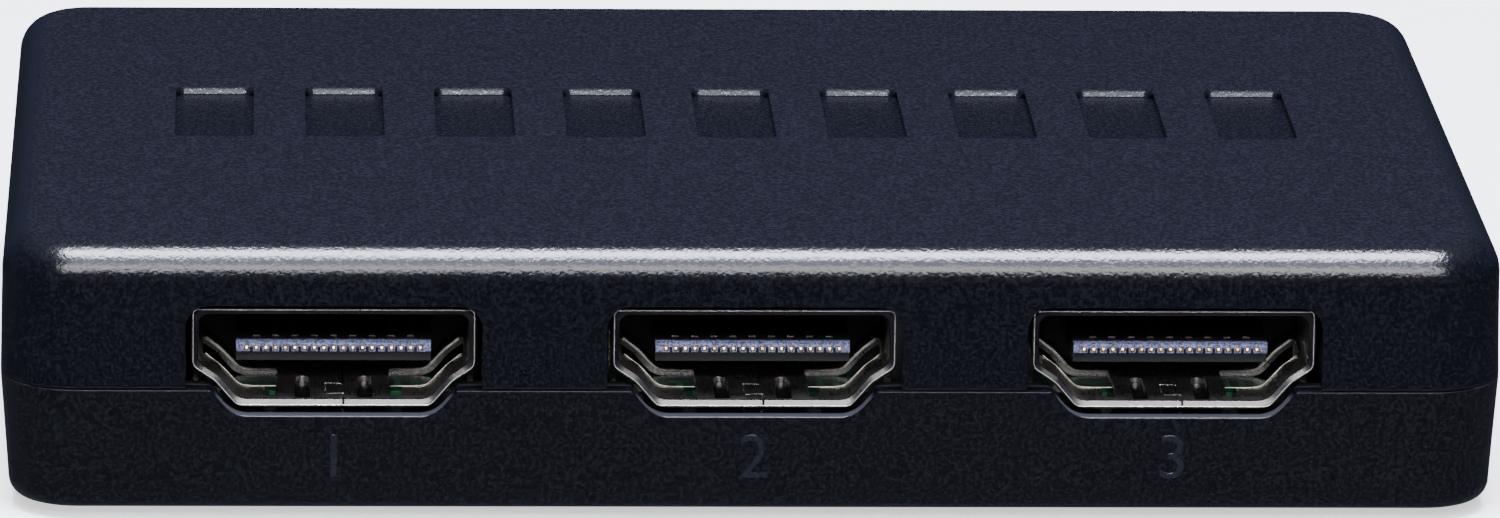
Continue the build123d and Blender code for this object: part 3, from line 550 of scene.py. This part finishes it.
coat(dark_moulding("chip_epoxy", (0.012, 0.012, 0.014), 0.12, 0.50),
     "switch_chip", "microcontroller", "memory_chips", "voltage_regulator", "ir_receiver", "chip_resistors")
coat(dark_moulding("jack_nylon", (0.010, 0.010, 0.011), 0.30, 0.38), "dc_jack_housing")
coat(dark_moulding("switch_nylon", (0.016, 0.016, 0.018), 0.25, 0.42), "switch_body", "switch_plunger")
coat(dark_moulding("button_satin", (0.004, 0.004, 0.006), 0.10, 0.28, 0.003), "select_button")
coat(dark_moulding("foot_rubber", (0.016, 0.016, 0.017), 0.45, 0.72, 0.02), "rubber_feet")
coat(dark_moulding("brown_ceramic", (0.30, 0.20, 0.11), 0.20, 0.35), "chip_capacitors")

# %% [markdown]
# ## Tin, zinc and drawn aluminium
# Leads are tinned and went through solder, so they are soft-edged and slightly uneven. The screws are zinc
# plated with a blue tinge, and the clock's and the capacitor's cans are drawn aluminium with fine vertical
# lines from the die. These share one recipe: a colour, a stretch for the lines and a roughness.

# %% Small metal parts
def bright_metal(name, colour, lines, size, roughness, depth):
    """Bright metal whose marks are stretched by lines along the three axes."""
    material, place = begin(name)
    marks = speckle(place.stretch(*lines), size, 2.0)
    dull = speckle(place, size * 3.0).step(0.45, 0.8)
    return close(
        material, place, Base_Color=dull.tint(colour, tuple(value * 0.7 for value in colour)), Metallic=1.0,
        Roughness=roughness + marks * 0.12 + dull * 0.10, Normal=relief(marks, depth, 0.05),
    )


coat(bright_metal("solder_tin", (0.66, 0.66, 0.67), (1, 1, 1), 0.3, 0.28, 0.006),
     "switch_terminals", "led_leads", "ir_leads", "switch_chip_leads", "microcontroller_leads",
     "memory_chip_leads", "regulator_leads")
coat(bright_metal("zinc_plated_screw", (0.50, 0.52, 0.56), (1, 1, 4), 0.4, 0.26, 0.004), "case_screws")
coat(bright_metal("drawn_can", (0.76, 0.76, 0.78), (6, 6, 0.4), 0.5, 0.24, 0.003),
     "crystal", "power_capacitor")

# %% [markdown]
# ## Clear lamps and the dark window
# The lamps are cast in clear epoxy, and the window in front of the remote receiver in a red so dark that it
# looks black until light falls through it. Both let light pass, so their shader transmits. The clear epoxy
# has faint haze and the window has tiny moulding ripples.

# %% Epoxy and tinted window
def clear_casting(name, colour, roughness, through):
    """A casting that lets light pass, with faint haze."""
    material, place = begin(name)
    haze = speckle(place, 0.9, 2.0)
    return close(
        material, place, Base_Color=haze.tint(colour, tuple(min(value * 1.2, 1.0) for value in colour)),
        Roughness=roughness + haze * 0.08, IOR=1.5, Transmission_Weight=through,
        Normal=relief(haze, 0.003),
    )


coat(clear_casting("clear_epoxy", (0.86, 0.92, 0.96), 0.06, 0.92), "led_1", "led_2", "led_3")
coat(clear_casting("dark_red_window", (0.016, 0.001, 0.002), 0.08, 0.4), "ir_window")

# %% [markdown]
# ## Pieces of our own
# So far we only gave finishes to the CAD pieces. The finest details are pieces of our own: each is linked to
# the scene, gets its finish and rides with a CAD body, so that it moves as the real one does. Three more
# helpers give the usual forms: a profile turned round an axis, a block, and a thin wire, which is a curve
# with a round bevel.

# %% Helpers that make pieces
def piece(name, data, material, body="case", slot="spring_metal"):
    """Link a new piece, give it its finish and let it ride with a CAD body."""
    made = bpy.data.objects.new(name, data)
    bpy.context.scene.collection.objects.link(made)
    made.data.materials.append(material)
    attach(made, body)
    return made


def turned(name, profile, centre, material, steps=24, **ride):
    """Turn (radius, distance) points in millimetres round a line along Y through centre."""
    mesh, form = bpy.data.meshes.new(name), bmesh.new()
    edge = [form.verts.new((radius * MM, distance * MM, 0.0)) for radius, distance in profile]
    for first, second in zip(edge, edge[1:]):
        form.edges.new((first, second))
    bmesh.ops.spin(form, geom=form.verts[:] + form.edges[:], cent=(0, 0, 0), axis=(0, 1, 0),
                   angle=math.tau, steps=steps, use_merge=True)
    bmesh.ops.remove_doubles(form, verts=form.verts, dist=0.001 * MM)
    bmesh.ops.recalc_face_normals(form, faces=form.faces)
    for face in form.faces:
        face.smooth = True
    bmesh.ops.translate(form, verts=form.verts, vec=centre)
    form.to_mesh(mesh)
    form.free()
    return piece(name, mesh, material, **ride)


def block(form, low, high):
    """Add a block between two corners, in metres, to a form."""
    made = bmesh.ops.create_cube(form, size=1.0)["verts"]
    bmesh.ops.scale(form, verts=made, vec=high - low)
    bmesh.ops.translate(form, verts=made, vec=(low + high) / 2)
    return made


def hair(name, points, thickness, material, **ride):
    """A thin round wire through points in metres."""
    line = bpy.data.curves.new(name, "CURVE")
    line.dimensions, line.bevel_depth, line.bevel_resolution = "3D", thickness / 2 * MM, 2
    run = line.splines.new("NURBS")
    run.points.add(len(points) - 1)
    for point, place in zip(run.points, points):
        point.co = (*place, 1.0)
    run.order_u, run.use_endpoint_u = 3, True
    return piece(name, line, material, **ride)


# %% [markdown]
# ## What shows inside a lamp
# A clear lamp lets us see its two flat legs: the wide anvil with a little cup that holds the glowing chip,
# and the thin post beside it, joined by a hair of gold wire. The legs are blocks with bevelled edges, and
# the cup is turned from a profile round the lamp's own axis. Their places are counted in millimetres from
# the middle of the lamp's inner end.

# %% Fill the lamps
silvered = bright_metal("silvered_frame", (0.80, 0.79, 0.76), (1, 4, 1), 0.3, 0.20, 0.002)
glow_chip = dark_moulding("lamp_chip", (0.35, 0.22, 0.05), 0.08, 0.35)
bond_gold = gold_plating("bond_wire_gold", (0.95, 0.72, 0.34), (0.62, 0.30, 0.10), 0.24)
anvil_low, anvil_high, anvil_bevel = Vector((-1.15, 0.1, -0.22)), Vector((0.15, 1.9, 0.22)), 0.06
post_low, post_high = Vector((0.55, 0.1, -0.2)), Vector((0.95, 2.2, 0.2))
cup_across, cup_distance, wire_thickness = -0.3, 1.9, 0.03
cup_profile = [(0.0, 0.06), (0.22, 0.06), (0.42, 0.34), (0.52, 0.34), (0.52, -0.1), (0.0, -0.1)]
chip_profile = [(0.0, 0.2), (0.13, 0.2), (0.13, 0.06), (0.0, 0.06)]
wire_path = [(0, 0.2), (0.2, 0.9), (0.7, 0.95), (1.05, 0.3)]

for number in (1, 2, 3):
    low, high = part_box(f"led_{number}")
    middle = Vector(((low.x + high.x) / 2, low.y, (low.z + high.z) / 2))
    legs = bmesh.new()
    block(legs, middle + anvil_low * MM, middle + anvil_high * MM)
    bmesh.ops.bevel(legs, geom=legs.edges[:], offset=anvil_bevel * MM, segments=1, affect="EDGES")
    block(legs, middle + post_low * MM, middle + post_high * MM)
    mesh = bpy.data.meshes.new(f"lamp_{number}_legs")
    legs.to_mesh(mesh)
    legs.free()
    piece(f"lamp_{number}_legs", mesh, silvered)
    cup = middle + Vector((cup_across * MM, cup_distance * MM, 0))
    turned(f"lamp_{number}_cup", cup_profile, cup, silvered)
    turned(f"lamp_{number}_chip", chip_profile, cup, glow_chip, steps=4, slot="lamp")
    run = [cup + Vector((across, out, 0)) * MM for across, out in wire_path]
    hair(f"lamp_{number}_wire", run, wire_thickness, bond_gold, slot="contact_gold")

# %% [markdown]
# ## The ends of the contacts
# Each of the 19 contacts ends in the nose of the tongue, where the punched end is bevelled upwards and
# polished by the plugs. The bevel leans just far enough to mirror the front soft box into the camera, so
# each end shines as a bright dot, where a flat end would mirror only the dark floor. We bend a small grid
# into a low wedge with rounded sides, repeat it for the 19 contacts, and make them one piece for each
# socket.

# %% Bevel the contact ends
contact_pitch, contact_count = 0.5, 19
end_width, end_height, end_bevel = 0.19, 0.16, math.radians(23.5)
end_below_top, end_steps, end_squareness, end_lip_slope = 0.4, 6, 6, 3


def contact_ends(name, facing):
    """Bevelled ends on the nose of one socket, facing is the sign of the way they look along Y."""
    low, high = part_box(f"{name}_contacts")
    face = low.y if facing < 0 else high.y
    middle_x, middle_z = mouth_middle[name].x, (tongue_top - end_below_top) * MM
    form, steps = bmesh.new(), end_steps
    for k in range(contact_count):
        across = middle_x + (k - (contact_count - 1) / 2) * contact_pitch * MM
        rows = []
        for j in range(steps + 1):
            v = 2 * j / steps - 1
            rows.append([])
            for i in range(steps + 1):
                u = 2 * i / steps - 1
                wedge = min((1 - v) * math.tan(end_bevel), (1 + v) * end_lip_slope) * end_height / 2
                rise = (1 - u ** end_squareness) * wedge * MM
                rows[-1].append(form.verts.new((across + u * end_width / 2 * MM, face + facing * rise,
                                                middle_z + v * end_height / 2 * MM)))
        for lower, upper in zip(rows, rows[1:]):
            for i in range(steps):
                corners = [lower[i], lower[i + 1], upper[i + 1], upper[i]]
                form.faces.new(corners if facing < 0 else corners[::-1]).smooth = True
    mesh = bpy.data.meshes.new(f"{name}_contact_ends")
    form.to_mesh(mesh)
    form.free()
    return piece(f"{name}_contact_ends", mesh, polished_gold, slot="contact_gold")


polished_gold = gold_plating("polished_contact_ends", (1.0, 0.66, 0.20), (0.85, 0.44, 0.11), 0.27)
for name in sockets:
    contact_ends(name, outward[name])
print("bevelled", contact_count * len(sockets), "contacts")

# %% [markdown]
# ## The burrs of the punched windows
# A punch leaves a fine turned-up burr on the sheet. On the edge of each window that is nearest to the mouth
# it shows as a hair-thin bright line, which runs along the flat, round the knee and up the hip of the
# shell. The far edge is rolled over and shows as a thicker bright bead. We draw both as round wires that
# lie on the sheet.

# %% Burrs and beads along the windows
board_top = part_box("circuit_board")[1].z
window_path = [(2.95, 0.31), (3.9, 0.31), (4.55, 0.33), (4.95, 0.45), (5.45, 1.02), (5.85, 1.45), (6.3, 1.78),
               (6.62, 2.06)]
window_edges = {"burr": (2.83, 0.05), "bead": (6.16, 0.17)}


def by_mouth(name, across, inwards, up):
    """A place counted in millimetres from the middle of a socket's mouth, inwards and up from the board."""
    mouth = mouth_front if outward[name] < 0 else mouth_back
    y = (mouth - outward[name] * inwards) * MM
    return Vector((mouth_middle[name].x + across * MM, y, board_top + up * MM))


for name in sockets:
    for side, word in ((-1, "left"), (1, "right")):
        for kind, (depth, thickness) in window_edges.items():
            run = [by_mouth(name, side * across, depth, up) for across, up in window_path]
            hair(f"{name}_{kind}_{word}", run, thickness, burr_nickel, slot="socket_metal")
print("depth and thickness in mm:", window_edges)

# %% [markdown]
# ## The rim's painted highlight
# A thin wire of paler nickel runs round the edge between the flat rim and its inner bevel. The round wire
# catches the soft boxes as a real edge does, and its paler metal adds a painted highlight all round. We
# follow the mouth's outline: right half first, then mirrored. Each corner gets a control point and one on
# either side, so that the spline turns there and stays straight in between.

# %% Line the rims
half_outline = [(4.875, 0.30), (5.95, 1.55), (7.0, 2.25), (7.0, 4.85)]
# The second number is the thickness of the rim's painted-highlight wire.
rim_offset, rim_highlight_thickness, turn_length = 0.26, 0.06, 0.55
outline = [Vector(point) for point in half_outline]
outline += [Vector((-point.x, point.y)) for point in reversed(outline)]


def grown(corners, amount):
    """The corners of an outline that is grown outwards by an amount."""
    made = []
    for k, corner in enumerate(corners):
        along_in = (corner - corners[k - 1]).normalized()
        along_out = (corners[(k + 1) % len(corners)] - corner).normalized()
        normal_in, normal_out = Vector((along_in.y, -along_in.x)), Vector((along_out.y, -along_out.x))
        made.append(corner + (normal_in + normal_out) * (amount / (1 + normal_in.dot(normal_out))))
    return made


def round_trip(corners):
    """Control points for a spline that rounds each corner, starting and ending under the mouth's middle."""
    start = Vector((0.0, corners[0].y))
    run = [start]
    for k, corner in enumerate(corners):
        before, after = corners[k - 1], corners[(k + 1) % len(corners)]
        run += [corner + (before - corner).normalized() * turn_length, corner,
                corner + (after - corner).normalized() * turn_length]
    return run + [start]


# The paler nickel of the rim wire is a painted highlight on top of the light the wire catches.
rim_highlight_metal = plated_sheet("rim_highlight_nickel", (0.80, 0.78, 0.75), 0.24, metallic=0.8)
rim_line = round_trip(grown(outline, rim_offset))
for name in sockets:
    run = [by_mouth(name, point.x, 0.0, point.y) for point in rim_line]
    hair(f"{name}_rim_highlight_wire", run, rim_highlight_thickness, rim_highlight_metal, slot="socket_metal")
print("rims lined with", len(rim_line), "control points each")

# %% [markdown]
# ## The numbers under the sockets
# Each input carries its plain number, moulded as a slightly glossier mark into the lower shell. The shell's
# front leans inwards by its mould draft, so the number leans with it. A text curve gives clean outlines,
# and a hundredth of a millimetre of thickness keeps it from flickering against the wall. The wall stands
# furthest out at the seam, so we go back from there by the draft's share of the height.

# %% Number the inputs
base_draft = math.radians(4)
number_height, number_size, number_thickness, number_sink = 3.35 * MM, 3.4 * MM, 0.008 * MM, 0.006 * MM
number_gloss = dark_moulding("number_gloss", (0.0030, 0.0034, 0.0060), 0.2, 0.22, 0.002)

for number, name in enumerate(sockets[:3], start=1):
    text = bpy.data.curves.new(f"input_number_{number}", "FONT")
    text.body, text.size, text.extrude = str(number), number_size, number_thickness
    text.align_x, text.align_y = "CENTER", "CENTER"
    mark = piece(f"input_number_{number}", text, number_gloss, slot="case")
    mark.rotation_euler = (math.radians(90) + base_draft, 0, 0)
    lean = math.tan(base_draft) * (seam_height * MM - number_height)
    mark.location = (mouth_middle[name].x, case_front + lean - number_sink, number_height)
print("numbers at height", round(number_height / MM, 2), "mm")

# %% [markdown]
# ## The floor
# The box stands on a plain pale sheet. It is large enough to fill every view, with a soft paper tooth that
# only shows as a slight liveliness. It is kept out of mirror-like reflections, as a photographer does with
# a raised box: the front of the case would otherwise mirror the white sheet and turn grey. It lies a trace
# below the feet, so that their undersides and the sheet never fall together.

# %% Lay the floor
def paper(name):
    """Pale paper that glows a little, as a sheet does when it is lit from below as well."""
    material, place = begin(name)
    tooth = speckle(place, 1.5, 3.0)
    return close(material, place, Base_Color=tooth.tint((0.86, 0.86, 0.865), (0.90, 0.90, 0.90)),
                 Roughness=0.9 + tooth * 0.1, Specular=0.1, Normal=relief(tooth, 0.03),
                 Emission_Color=(1.0, 1.0, 1.0), Emission_Strength=1.0)


floor_half, floor_drop, floor_cuts = 3.0, 0.03 * MM, 7
form = bmesh.new()
corners = [form.verts.new((x * floor_half, y * floor_half, -floor_drop))
           for x, y in ((-1, -1), (1, -1), (1, 1), (-1, 1))]
form.faces.new(corners)
bmesh.ops.subdivide_edges(form, edges=form.edges, cuts=floor_cuts, use_grid_fill=True)
sheet_mesh = bpy.data.meshes.new("floor")
form.to_mesh(sheet_mesh)
form.free()
floor = bpy.data.objects.new("floor", sheet_mesh)
bpy.context.scene.collection.objects.link(floor)
floor.data.materials.append(paper("pale_paper"))
floor.visible_glossy = False
floor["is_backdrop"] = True
print("floor", 2 * floor_half, "m wide")

# %% [markdown]
# ## The light
# The rounded front edge of the roof shows two bright lines: the mirror images of two soft boxes, a strong
# one almost overhead and a weaker one in front, above the camera. The angle of each was worked out from
# where its line lies on the rounded edge: where the surface leans t more, it mirrors what lies 2 t further
# round. A third, dim box between them keeps the edge from going black between the lines. The front box also
# lifts the sockets out of the dark. Each row gives azimuth and elevation in degrees, distance, width and
# depth in metres, power in watts and colour.

# %% Hang the soft boxes
def soft_box(name, azimuth, elevation, distance, width, depth, power, colour):
    """A rectangular light that looks at the object."""
    light = bpy.data.lights.new(name, "AREA")
    light.shape, light.size, light.size_y = "RECTANGLE", width, depth
    light.energy, light.color = power, colour
    lamp = bpy.data.objects.new(name, light)
    bpy.context.scene.collection.objects.link(lamp)
    out = direction(azimuth, elevation)
    lamp.location = out * distance
    lamp.rotation_euler = out.to_track_quat("Z", "Y").to_euler()
    print("soft box", name, "at", [round(value, 2) for value in lamp.location], "m")


soft_box("roof_box", 0, 76.5, 0.62, 0.38, 0.26, 19.0, (0.80, 0.83, 1.0))
soft_box("camera_box", 0, 33, 0.70, 0.62, 0.22, 5.2, (0.97, 0.96, 1.0))
soft_box("fill_box", 0, 53.5, 0.74, 0.42, 0.24, 1.5, (0.80, 0.85, 1.0))

# %% [markdown]
# ## The room
# What isn't lit by a box mirrors the room. It is a dim blue-grey: a little light comes up from the floor,
# the least from just below the horizon and the most from the ceiling, so that walls, edges and metal each
# find their own tone. In front, just above the horizon, a low glow stands in for the lit wall behind the
# camera. Each line lays one more colour over the last, by height.

# %% Tint the room
straight_down, below_horizon = (0.12, 0.125, 0.165), (0.030, 0.033, 0.050)
above_horizon, ceiling, lit_wall = (0.065, 0.078, 0.145), (0.34, 0.37, 0.50), (0.18, 0.185, 0.22)
room = bpy.data.worlds.new("studio_room")
bpy.context.scene.world = room
room.use_nodes = True
room.node_tree.nodes.clear()
way = Wire(room.node_tree).node("ShaderNodeTexCoord")
height, front = way.axis(2), 1 - way.axis(1).step(-0.9, -0.4)
under = height.step(-0.45, -0.2).tint(straight_down, below_horizon)
level = height.step(-0.1, 0.2).tint(under, above_horizon)
upper = height.step(0.35, 0.95).tint(level, ceiling)
glow = front * height.step(-0.06, 0.04) * (1 - height.step(0.08, 0.22))
shade = glow.tint(upper, lit_wall)
background = shade.node("ShaderNodeBackground", None, {"Color": shade, "Strength": 1.0})
background.node("ShaderNodeOutputWorld", None, {"Surface": background})
print("room tinted with", len(room.node_tree.nodes), "nodes")

# %% [markdown]
# We keep the box from before and after the dressing, and print how far its high corner has grown, in
# millimetres.

# %% Print how far the dressing grew the box
visual_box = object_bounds()
growth = [round((after - before) / MM, 3) for before, after in zip(cad_box[1], visual_box[1])]
print("grown by", growth, "mm at the high corner")
